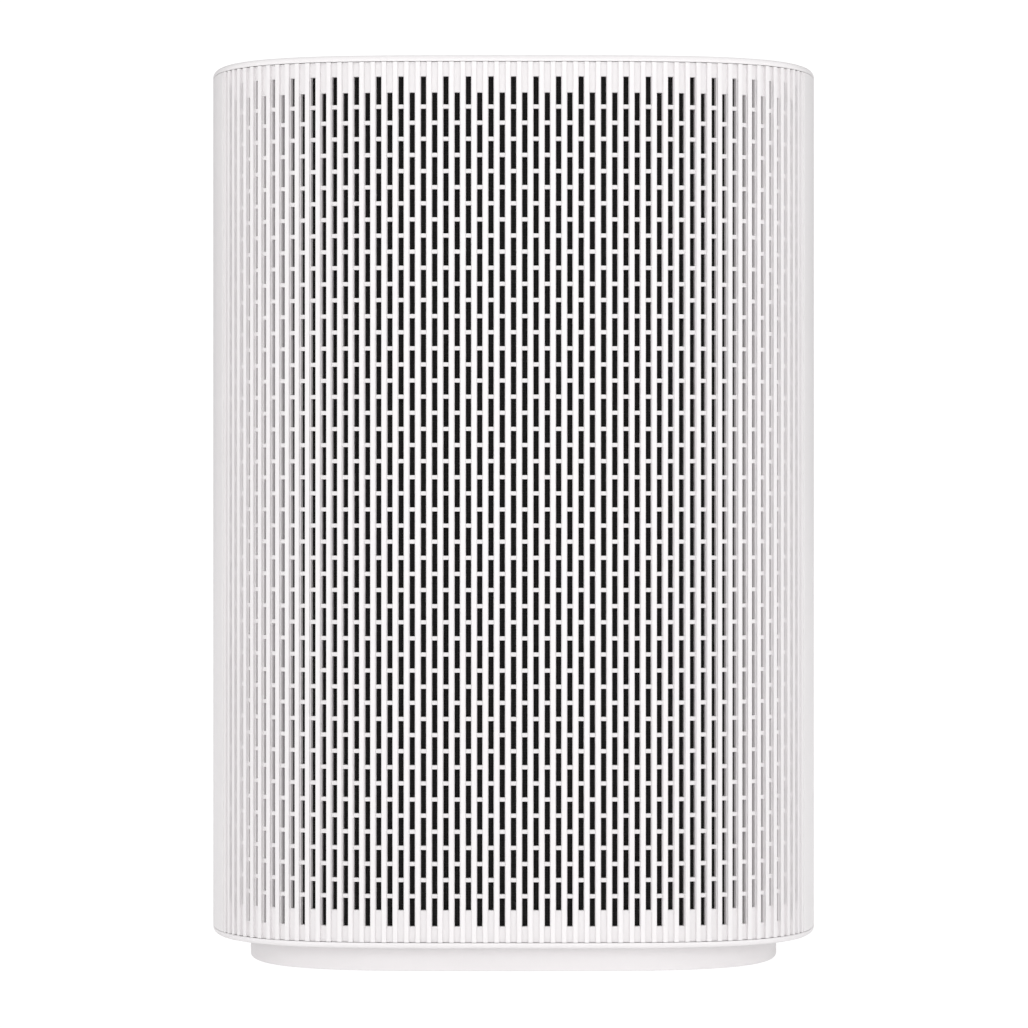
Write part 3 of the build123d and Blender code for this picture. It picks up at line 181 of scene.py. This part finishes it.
def slot_levels(column):
    """Lower and upper ends of the slots of one column, or none for a blind groove."""
    if abs(column) > SLOT_COLUMNS:
        return []
    middle = SLOT_MIDDLE + (SLOT_STAGGER if column % 2 == 0 else -SLOT_STAGGER)
    first = middle - (SLOT_ROWS - 1) / 2 * SLOT_PITCH
    centres = [first + i * SLOT_PITCH for i in range(SLOT_ROWS)]
    return [(z - SLOT_LENGTH / 2, z + SLOT_LENGTH / 2) for z in centres]


def rib_half(mesh, centre, side, low, high):
    """Vertex pairs (low, high) down one half of a rib's section, from its middle to its rounded edge."""
    pairs = []
    spots = [(0.0, 0.0)]
    for across, down in quarter(ROUND_STEPS):
        spots.append((RIB_WIDTH / 2 - RIB_ROUND + RIB_ROUND * across, RIB_ROUND * down))
    for across, depth in spots:
        point = on_front(centre + side * across, depth)
        pairs.append((mesh.add(point, low), mesh.add(point, high)))
    return pairs


def column_of(mesh, distance, depth, levels):
    """One vertical line of vertices."""
    point = on_front(distance, depth)
    return [mesh.add(point, z) for z in levels]


def rib_faces(mesh, centre, low, high):
    """One rib's front. Returns its halves by side, each as vertex pairs from the middle to the edge."""
    middle = on_front(centre, 0)
    shared = (mesh.add(middle, low), mesh.add(middle, high))
    halves = {}
    for side in (-1, 1):
        pairs = halves[side] = rib_half(mesh, centre, side, low, high)
        pairs[0] = shared
        for (a, b), (c, d) in zip(pairs, pairs[1:]):
            if side > 0:
                mesh.face(a, c, d, b)
            else:
                mesh.face(c, a, b, d)
    return halves


def slot_faces(mesh, groove, low, high, front_ring, back_ring):
    """One slot's eased rim and walls, from the groove's floor to the cover's back."""
    ring = front_ring
    for across, down in list(quarter(ROUND_STEPS - 1))[1:]:
        inset = SLOT_ROUND * (1 - across)
        depth = RIB_DEPTH + SLOT_ROUND * down
        left = on_front(groove - SLOT_WIDTH / 2 - inset, depth)
        right = on_front(groove + SLOT_WIDTH / 2 + inset, depth)
        next_ring = [
            mesh.add(left, low - inset),
            mesh.add(right, low - inset),
            mesh.add(right, high + inset),
            mesh.add(left, high + inset),
        ]
        mesh.ring(ring, next_ring)
        ring = next_ring
    mesh.ring(ring, back_ring)


def groove_faces(mesh, centres, column, low, high, right_half, left_half, inner_left, inner_right):
    """What lies between two neighbouring ribs: the groove's walls, floor and slots, and its back."""
    groove = sum(centres) / 2
    slots = slot_levels(column)
    floor_levels = [low] + [z for a, b in slots for z in (a - SLOT_ROUND, b + SLOT_ROUND)] + [high]
    wall_levels = [low] + [z for a, b in slots for z in (a, b)] + [high]
    rim = SLOT_WIDTH / 2 + SLOT_ROUND
    foot_left = column_of(mesh, centres[0] + RIB_WIDTH / 2, RIB_DEPTH, floor_levels)
    rim_left = column_of(mesh, groove - rim, RIB_DEPTH, floor_levels)
    rim_right = column_of(mesh, groove + rim, RIB_DEPTH, floor_levels)
    foot_right = column_of(mesh, centres[1] - RIB_WIDTH / 2, RIB_DEPTH, floor_levels)
    back_left = column_of(mesh, groove - SLOT_WIDTH / 2, COVER_BACK, wall_levels)
    back_right = column_of(mesh, groove + SLOT_WIDTH / 2, COVER_BACK, wall_levels)
    mesh.face(right_half[-1][0], *foot_left, right_half[-1][1])
    mesh.face(left_half[-1][1], *reversed(foot_right), left_half[-1][0])
    mesh.strip(foot_left, rim_left)
    mesh.strip(rim_right, foot_right)
    for k in range(0, len(floor_levels) - 1, 2):
        mesh.face(rim_left[k], rim_right[k], rim_right[k + 1], rim_left[k + 1])
        mesh.face(back_right[k], back_left[k], back_left[k + 1], back_right[k + 1])
    mesh.face(inner_left[1], *reversed(back_left), inner_left[0])
    mesh.face(inner_right[0], *back_right, inner_right[1])
    for k, (a, b) in enumerate(slots):
        at = 2 * k + 1
        front_ring = [rim_left[at], rim_right[at], rim_right[at + 1], rim_left[at + 1]]
        back_ring = [back_left[at], back_right[at], back_right[at + 1], back_left[at + 1]]
        slot_faces(mesh, groove, a, b, front_ring, back_ring)
    for which, turn in ((0, 1), (-1, -1)):
        front_line = [p[which] for p in right_half] + [foot_left[which], rim_left[which]]
        front_line += [rim_right[which], foot_right[which]] + [p[which] for p in reversed(left_half)]
        back_line = [inner_right[which], back_right[which], back_left[which], inner_left[which]]
        mesh.face(*(front_line + back_line)[::-turn])


def end_faces(mesh, centre, side, end_y, low, high, half, inner):
    """The cover's end past its last rib on one side."""
    foot = [mesh.add(on_front(centre + side * RIB_WIDTH / 2, RIB_DEPTH), z) for z in (low, high)]
    past = centre + side * RIB_PITCH / 2
    outer_end = on_front(past, RIB_DEPTH)
    inner_end = on_front(past, COVER_BACK)
    outer = [mesh.add((outer_end.x, end_y, z)) for z in (low, high)]
    inside = [mesh.add((inner_end.x, end_y, z)) for z in (low, high)]
    order = slice(None, None, side)
    mesh.face(*[half[-1][0], foot[0], foot[1], half[-1][1]][order])
    mesh.face(*[foot[0], outer[0], outer[1], foot[1]][order])
    mesh.face(*[outer[0], inside[0], inside[1], outer[1]][order])
    mesh.face(*[inside[0], inner[0], inner[1], inside[1]][order])
    for which, turn in ((0, -1), (1, 1)):
        line = [p[which] for p in half] + [foot[which], outer[which], inside[which], inner[which]]
        mesh.face(*line[:: turn * side])


def ribbed_cover(name, node, mirror_y):
    """A moulded cover: rounded ribs, grooves, and slots with eased edges, as one closed mesh."""
    low_corner, high_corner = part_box(node)
    low, high = low_corner.z, high_corner.z
    end_y = -abs(low_corner.y if mirror_y else high_corner.y)
    mesh = Mesh()
    centres = [(i - (RIBS - 1) / 2) * RIB_PITCH for i in range(RIBS)]
    ribs = []
    inner = []
    for centre in centres:
        ribs.append(rib_faces(mesh, centre, low, high))
        behind = on_front(centre, COVER_BACK)
        inner.append((mesh.add(behind, low), mesh.add(behind, high)))
    for i in range(RIBS - 1):
        column = i - (RIBS - 2) // 2
        halves = (ribs[i][1], ribs[i + 1][-1])
        groove_faces(mesh, centres[i : i + 2], column, low, high, *halves, *inner[i : i + 2])
    for i, side in ((0, -1), (RIBS - 1, 1)):
        end_faces(mesh, centres[i], side, end_y, low, high, ribs[i][side], inner[i])
    return soften(mesh.build(name, mirror_y))


# ---------------------------------------------------------------- outlet grille and controls

GRILLE_TURNS = 192
RING_ROUND = 0.8 * MM
FIN_BASE = 2.0 * MM
FIN_TIP = 1.5 * MM
FIN_INSET = 0.5 * MM  # the fins lie this far inside the rings, above and below
FIN_SINK = 0.4 * MM  # how far a fin's end runs into a ring
HUB_RING = (48.5 * MM, 52.0 * MM)
MIDDLE_RING = (98.8 * MM, 101.2 * MM)
OUTER_RING_INNER = 154.5 * MM
INNER_FINS = 48
OUTER_FINS = 96


def lathe(mesh, profile):
    """Turns a closed profile of (radius, height) points about the vertical axis."""
    angles = [2 * math.pi * i / GRILLE_TURNS for i in range(GRILLE_TURNS)]
    rings = []
    for radius, z in profile:
        rings.append([mesh.add((radius * math.cos(a), radius * math.sin(a), z)) for a in angles])
    for first, second in zip(rings, rings[1:] + rings[:1]):
        mesh.ring(first, second)


def radial_fin(mesh, angle, inner, outer, low, high):
    """A straight fin with drafted sides and a rounded top."""
    along = Vector((math.cos(angle), math.sin(angle), 0))
    aside = Vector((-math.sin(angle), math.cos(angle), 0))
    radius = FIN_TIP / 2
    section = [(-FIN_BASE / 2, low), (FIN_BASE / 2, low)]
    for i in range(2 * ROUND_STEPS + 1):
        turn = math.pi * i / (2 * ROUND_STEPS)
        section.append((radius * math.cos(turn), high - radius + radius * math.sin(turn)))
    ends = []
    for reach in (inner, outer):
        ends.append([mesh.add(along * reach + aside * across, z) for across, z in section])
    mesh.ring(ends[0], ends[1])
    mesh.face(*reversed(ends[0]))
    mesh.face(*ends[1])


def outlet_grille(name, node):
    """Three rings and two circles of fins in the air outlet."""
    low_corner, high_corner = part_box(node)
    low, high = low_corner.z, high_corner.z
    mesh = Mesh()
    rings = (HUB_RING, MIDDLE_RING, (OUTER_RING_INNER, high_corner.x))
    for inner, outer in rings:
        top = []
        for across, down in quarter(ROUND_STEPS):
            top.append((outer - RING_ROUND * down, high - RING_ROUND * (1 - across)))
        for across, down in reversed(list(quarter(ROUND_STEPS))):
            top.append((inner + RING_ROUND * down, high - RING_ROUND * (1 - across)))
        lathe(mesh, [(inner, low), (outer, low)] + top)
    foot, head = low + FIN_INSET, high - FIN_INSET
    for count, first, second in ((INNER_FINS, rings[0], rings[1]), (OUTER_FINS, rings[1], rings[2])):
        for i in range(count):
            angle = 2 * math.pi * i / count
            radial_fin(mesh, angle, first[1] - FIN_SINK, second[0] + FIN_SINK, foot, head)
    return soften(mesh.build(name))


MARK_PROUD = 0.08 * MM
MARK_WIDTH = 0.8 * MM
MARK_RADIUS = 3.2 * MM
MARK_STEPS = 32
INDICATOR_PITCH = 6.0 * MM
INDICATOR_HALF = (1.9 * MM, 0.5 * MM)
INDICATORS = 5
WINDOW_Y = 12.0 * MM  # the display's place behind the lens
POWER_GAP = (120, 420)  # degrees; the power mark's arc is open at its top
POWER_STEM_PLACE = 0.75  # of MARK_RADIUS, above the arc's centre
POWER_STEM_HALF = 0.5  # of MARK_RADIUS
SQUARE = ((-1, -1), (1, -1), (1, 1), (-1, 1))


def raised_arc(mesh, centre, start, end, top):
    """A flat raised arc of MARK_WIDTH about a centre, from one angle to another, in degrees."""
    low = top - MARK_PROUD
    high = top + MARK_PROUD
    inner, outer = MARK_RADIUS - MARK_WIDTH / 2, MARK_RADIUS + MARK_WIDTH / 2
    columns = []
    closed = end - start == 360
    for i in range(MARK_STEPS if closed else MARK_STEPS + 1):
        angle = math.radians(start + (end - start) * i / MARK_STEPS)
        column = []
        for radius, z in ((outer, low), (outer, high), (inner, high), (inner, low)):
            x, y = centre[0] + radius * math.cos(angle), centre[1] + radius * math.sin(angle)
            column.append(mesh.add((x, y, z)))
        columns.append(column)
    following = columns[1:] + (columns[:1] if closed else [])
    for first, second in zip(columns, following):
        mesh.ring(second, first)
    if not closed:
        mesh.face(*columns[0])
        mesh.face(*reversed(columns[-1]))


def raised_bar(mesh, centre, half, top):
    """A flat raised bar."""
    below, above = [
        [mesh.add((centre[0] + x * half[0], centre[1] + y * half[1], z)) for x, y in SQUARE]
        for z in (top - MARK_PROUD, top + MARK_PROUD)
    ]
    mesh.ring(below, above)
    mesh.face(*reversed(below))
    mesh.face(*above)


def node_top(node):
    """The middle of a node's upper side."""
    low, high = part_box(node)
    return ((low.x + high.x) / 2, (low.y + high.y) / 2), high.z


# ---------------------------------------------------------------- materials


def new_material(name):
    """A material with a Principled shader and an output, and its nodes and links."""
    made = bpy.data.materials.new(name)
    made.use_nodes = True
    return made, made.node_tree.nodes, made.node_tree.links


def set_socket(node, **values):
    for label, value in values.items():
        node.inputs[label.replace("_", " ")].default_value = value


def noise(nodes, scale, detail):
    made = nodes.new("ShaderNodeTexNoise")
    set_socket(made, Scale=scale, Detail=detail)
    return made


def colour_ramp(nodes, span, dark, light):
    """Dark up to the span's start, light from its end."""
    made = nodes.new("ShaderNodeValToRGB")
    for element, position, colour in zip(made.color_ramp.elements, span, (dark, light)):
        element.position = position
        element.color = (*colour, 1)
    return made


def relief_of(nodes, strength, height):
    made = nodes.new("ShaderNodeBump")
    set_socket(made, Strength=strength, Distance=height)
    return made


DRIFT_SPAN = (0.3, 0.7)  # of the slow noise, over which the colour turns from dark to light
DRIFT_DETAIL = 3
GRAIN_DETAIL = 4
GRAIN_HEIGHT = 0.1 * MM
ROUGHNESS_SPREAD = 0.05


def grained(name, dark, light, roughness, grain=900.0, bump=0.05, mottling=14.0, **sockets):
    """Moulded plastic or metal: a slow colour drift and a fine surface grain."""
    made, nodes, links = new_material(name)
    shader = nodes["Principled BSDF"]
    place = nodes.new("ShaderNodeTexCoord")
    drift = noise(nodes, mottling, DRIFT_DETAIL)
    tint = colour_ramp(nodes, DRIFT_SPAN, dark, light)
    fine = noise(nodes, grain, GRAIN_DETAIL)
    spread = nodes.new("ShaderNodeMapRange")
    spread.inputs["To Min"].default_value = roughness - ROUGHNESS_SPREAD
    spread.inputs["To Max"].default_value = roughness + ROUGHNESS_SPREAD
    relief = relief_of(nodes, bump, GRAIN_HEIGHT)
    for texture in (drift, fine):
        links.new(place.outputs["Object"], texture.inputs["Vector"])
    links.new(drift.outputs["Fac"], tint.inputs["Fac"])
    links.new(tint.outputs["Color"], shader.inputs["Base Color"])
    links.new(fine.outputs["Fac"], spread.inputs["Value"])
    links.new(spread.outputs["Result"], shader.inputs["Roughness"])
    links.new(fine.outputs["Fac"], relief.inputs["Height"])
    links.new(relief.outputs["Normal"], shader.inputs["Normal"])
    set_socket(shader, **sockets)
    return made


WAVE_PERIOD = 0.314  # of a wave texture's bands at scale 1
WAVE_WANDER = 0.4
THREAD_SHADE_SPAN = (0.35, 0.95)  # of the thread's height, over which the painted shade turns the colour from dark to light
THREAD_HEIGHT = 1 / 3  # of the pitch
WEAVE_BUMP = 0.6
WEAVE_ROUGHNESS = 0.85


def woven(name, dark, light, pitch, **sockets):
    """A plain weave: two crossed sets of threads in height, with painted shade that darkens the colour
    towards the low ground between the threads.
    """
    made, nodes, links = new_material(name)
    shader = nodes["Principled BSDF"]
    place = nodes.new("ShaderNodeTexCoord")
    both = nodes.new("ShaderNodeMath")
    both.operation = "MAXIMUM"
    for i, direction in enumerate(("X", "Z")):
        wave = nodes.new("ShaderNodeTexWave")
        wave.wave_type = "BANDS"
        wave.bands_direction = direction
        set_socket(wave, Scale=WAVE_PERIOD / pitch, Distortion=WAVE_WANDER)
        links.new(place.outputs["Object"], wave.inputs["Vector"])
        links.new(wave.outputs["Fac"], both.inputs[i])
    # painted shade: the lower a spot lies between the threads, the darker its colour
    tint = colour_ramp(nodes, THREAD_SHADE_SPAN, dark, light)
    relief = relief_of(nodes, WEAVE_BUMP, pitch * THREAD_HEIGHT)
    links.new(both.outputs["Value"], tint.inputs["Fac"])
    links.new(tint.outputs["Color"], shader.inputs["Base Color"])
    links.new(both.outputs["Value"], relief.inputs["Height"])
    links.new(relief.outputs["Normal"], shader.inputs["Normal"])
    set_socket(shader, Roughness=WEAVE_ROUGHNESS, **sockets)
    return made


# Each slot's darker and lighter colour and roughness, then its grain, bump and mottling where not the usual
MOULDED = {
    "white_shell": ((0.752, 0.731, 0.737), (0.767, 0.746, 0.752), 0.42),
    "inner_plastic": ((0.56, 0.56, 0.56), (0.62, 0.62, 0.62), 0.5),
    "dark_plastic": ((0.012, 0.012, 0.013), (0.02, 0.02, 0.021), 0.45),
    "filter_paper": ((0.72, 0.71, 0.67), (0.80, 0.79, 0.76), 0.9, 400, 0.3),
    "carbon": ((0.01, 0.01, 0.01), (0.05, 0.05, 0.05), 0.8, 500, 0.9, 600),
    "foam": ((0.03, 0.03, 0.03), (0.06, 0.06, 0.06), 0.95, 800, 0.8, 500),
    "rubber": ((0.03, 0.03, 0.03), (0.045, 0.045, 0.045), 0.75, 700, 0.2),
    "board": ((0.010, 0.065, 0.025), (0.018, 0.10, 0.04), 0.4, 300, 0.2, 200),
    "lens": ((0.006, 0.006, 0.007), (0.009, 0.009, 0.010), 0.1, 900, 0.0, 20),
    "button_white": ((0.74, 0.73, 0.73), (0.78, 0.77, 0.77), 0.4),
    "cable": ((0.012, 0.012, 0.012), (0.02, 0.02, 0.02), 0.55, 700, 0.1),
}
METALS = {
    "steel": ((0.52, 0.52, 0.53), (0.62, 0.62, 0.63), 0.32, 600, 0.03, 60),
    "magnet": ((0.60, 0.60, 0.59), (0.70, 0.70, 0.69), 0.2, 600, 0.02, 60),
    "motor_metal": ((0.42, 0.43, 0.44), (0.52, 0.53, 0.54), 0.4, 300, 0.2, 40),
    "brass": ((0.62, 0.42, 0.15), (0.72, 0.50, 0.20), 0.3, 600, 0.03, 60),
}
MATERIALS = {slot: grained(slot, *look) for slot, look in MOULDED.items()}
MATERIALS |= {slot: grained(slot, *look, Metallic=1.0) for slot, look in METALS.items()}
# both weaves carry painted shade between their threads
MATERIALS["mesh_black"] = woven(
    "mesh_black", (0.001, 0.001, 0.001), (0.030, 0.029, 0.029), 1.0 * MM, Specular_IOR_Level=0.1
)
MATERIALS["tab_fabric"] = woven("tab_fabric", (0.05, 0.06, 0.08), (0.16, 0.18, 0.21), 0.6 * MM)
SLOT_OF = {part["node"]: part["material_slot"] for part in frame["record"]["subparts"]}


def dress(piece, slot):
    """Gives a piece one material, the one made for the named slot."""
    piece.data.materials.clear()
    piece.data.materials.append(MATERIALS[slot])


for node, holder in frame["nodes"].items():
    for material_slot in holder.material_slots:
        material_slot.material = MATERIALS[SLOT_OF[node]]

# ---------------------------------------------------------------- pieces

for side, mirror_y in (("front", False), ("rear", True)):
    cover = ribbed_cover(f"{side}_ribbed_cover", f"{side}_grille", mirror_y)
    dress(cover, "white_shell")
    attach(cover, f"{side}_cover")
    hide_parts(f"{side}_grille")

outlet = outlet_grille("outlet_fins", "outlet_grille")
dress(outlet, "white_shell")
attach(outlet, "chassis")
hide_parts("outlet_grille")

power_mark = Mesh()
centre, top = node_top("power_button")
raised_arc(power_mark, centre, *POWER_GAP, top)
stem = (centre[0], centre[1] + MARK_RADIUS * POWER_STEM_PLACE)
raised_bar(power_mark, stem, (MARK_WIDTH / 2, MARK_RADIUS * POWER_STEM_HALF), top)
mode_mark = Mesh()
centre, top = node_top("mode_button")
raised_arc(mode_mark, centre, 0, 360, top)
indicators = Mesh()
centre, top = node_top("display_lens")
for i in range(INDICATORS):
    x = (i - (INDICATORS - 1) / 2) * INDICATOR_PITCH
    raised_bar(indicators, (centre[0] + x, centre[1] + WINDOW_Y), INDICATOR_HALF, top)
for mesh, name, slot, body in (
    (power_mark, "power_mark", "dark_plastic", "power_button"),
    (mode_mark, "mode_mark", "dark_plastic", "mode_button"),
    (indicators, "indicator_bars", "button_white", "chassis"),
):
    piece = mesh.build(name)
    dress(piece, slot)
    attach(piece, body)

# ---------------------------------------------------------------- camera, light and floor

CAMERA_DISTANCE = 2.699
CAMERA_HEIGHT = 0.300
LENS = 138.6
SENSOR_WIDTH = 36
CAMERA_REACH = 50
HORIZON_ABOVE_CENTRE = 0.012257  # of the frame's width
SIDE_SHIFT = 0.000438
STUDIO_REACH = 12.0
FLOOR_WHITE = (0.05, 0.98)  # albedo and glow
FLOOR_GREY = (0.7, 0.32)
WALLS_WHITE = (0.05, 1.0)
LAMP_PLACE = (0.15, -3.4, 0.55)
LAMP_AIM = (0, 0, 0.3)
LAMP_SIZE = (1.6, 1.2)
LAMP_POWER = 23
WORLD_AROUND = 1.33
WORLD_BEHIND = 0.25
WORLD_ABOVE = 0.55  # a factor on the rest
FADE_BEHIND = (0.35, 0.85)  # the part of a direction that points to +Y, where the fade begins and ends
FADE_ABOVE = (0.3, 0.8)  # the same towards +Z


def add_camera():
    data = bpy.data.cameras.new("camera")
    data.lens = LENS
    data.sensor_width = SENSOR_WIDTH
    data.shift_x = SIDE_SHIFT
    data.shift_y = -HORIZON_ABOVE_CENTRE
    data.clip_end = CAMERA_REACH
    camera = bpy.data.objects.new("camera", data)
    camera.location = (0, -CAMERA_DISTANCE, CAMERA_HEIGHT)
    camera.rotation_euler = (math.pi / 2, 0, 0)
    bpy.context.scene.collection.objects.link(camera)
    bpy.context.scene.camera = camera


def front_lamp():
    """One large soft lamp beside the camera."""
    data = bpy.data.lights.new("front_soft", "AREA")
    data.shape = "RECTANGLE"
    data.size, data.size_y = LAMP_SIZE
    data.energy = LAMP_POWER
    lamp = bpy.data.objects.new("front_soft", data)
    lamp.location = LAMP_PLACE
    lamp.rotation_euler = (Vector(LAMP_AIM) - Vector(LAMP_PLACE)).to_track_quat("-Z", "Y").to_euler()
    bpy.context.scene.collection.objects.link(lamp)


def add_world():
    """Soft white light from the front and the sides, weaker from behind and from above the object."""
    world = bpy.data.worlds.new("studio")
    world.use_nodes = True
    nodes, links = world.node_tree.nodes, world.node_tree.links
    background = nodes["Background"]
    background.inputs["Color"].default_value = (1, 1, 1, 1)
    place = nodes.new("ShaderNodeTexCoord")
    split = nodes.new("ShaderNodeSeparateXYZ")
    both = nodes.new("ShaderNodeMath")
    both.operation = "MULTIPLY"
    links.new(place.outputs["Generated"], split.inputs["Vector"])
    fades = (("Y", FADE_BEHIND, (WORLD_AROUND, WORLD_BEHIND)), ("Z", FADE_ABOVE, (1.0, WORLD_ABOVE)))
    for i, (axis, begin_end, near_far) in enumerate(fades):
        fade = nodes.new("ShaderNodeMapRange")
        fade.interpolation_type = "SMOOTHSTEP"
        for label, value in zip(("From Min", "From Max", "To Min", "To Max"), begin_end + near_far):
            fade.inputs[label].default_value = value
        links.new(split.outputs[axis], fade.inputs["Value"])
        links.new(fade.outputs["Result"], both.inputs[i])
    links.new(both.outputs["Value"], background.inputs["Strength"])
    bpy.context.scene.world = world


def stage_piece(mesh, name, shade, glow):
    """A piece of the studio with an even pale material."""
    piece = mesh.build(name)
    colours = (shade,) * 3, (shade * 1.1,) * 3
    pale = grained(f"{name}_pale", *colours, roughness=0.9, grain=200, bump=0.0, mottling=2)
    set_socket(pale.node_tree.nodes["Principled BSDF"], Emission_Strength=glow, Emission_Color=(1, 1, 1, 1))
    piece.data.materials.append(pale)
    return piece


def studio_square(mesh, height):
    return [mesh.add((x * STUDIO_REACH, y * STUDIO_REACH, height)) for x, y in SQUARE]


def white_only(piece):
    """Seen white by the camera, while the light on the object passes it."""
    piece.visible_diffuse = False
    piece.visible_glossy = False
    piece.visible_transmission = False
    piece.visible_shadow = False


def add_studio():
    """A white floor and walls, and under the floor a grey one that returns less light to the object."""
    white, grey, walls = Mesh(), Mesh(), Mesh()
    white.face(*studio_square(white, 0))
    white_only(stage_piece(white, "floor", *FLOOR_WHITE))
    grey.face(*studio_square(grey, -MM))
    stage_piece(grey, "floor_grey", *FLOOR_GREY).visible_camera = False
    foot, head = studio_square(walls, -STUDIO_REACH), studio_square(walls, STUDIO_REACH)
    walls.ring(foot, head)
    walls.face(*head)
    white_only(stage_piece(walls, "walls", *WALLS_WHITE))


add_camera()
add_world()
add_studio()
front_lamp()
bpy.context.scene.view_settings.view_transform = "Standard"
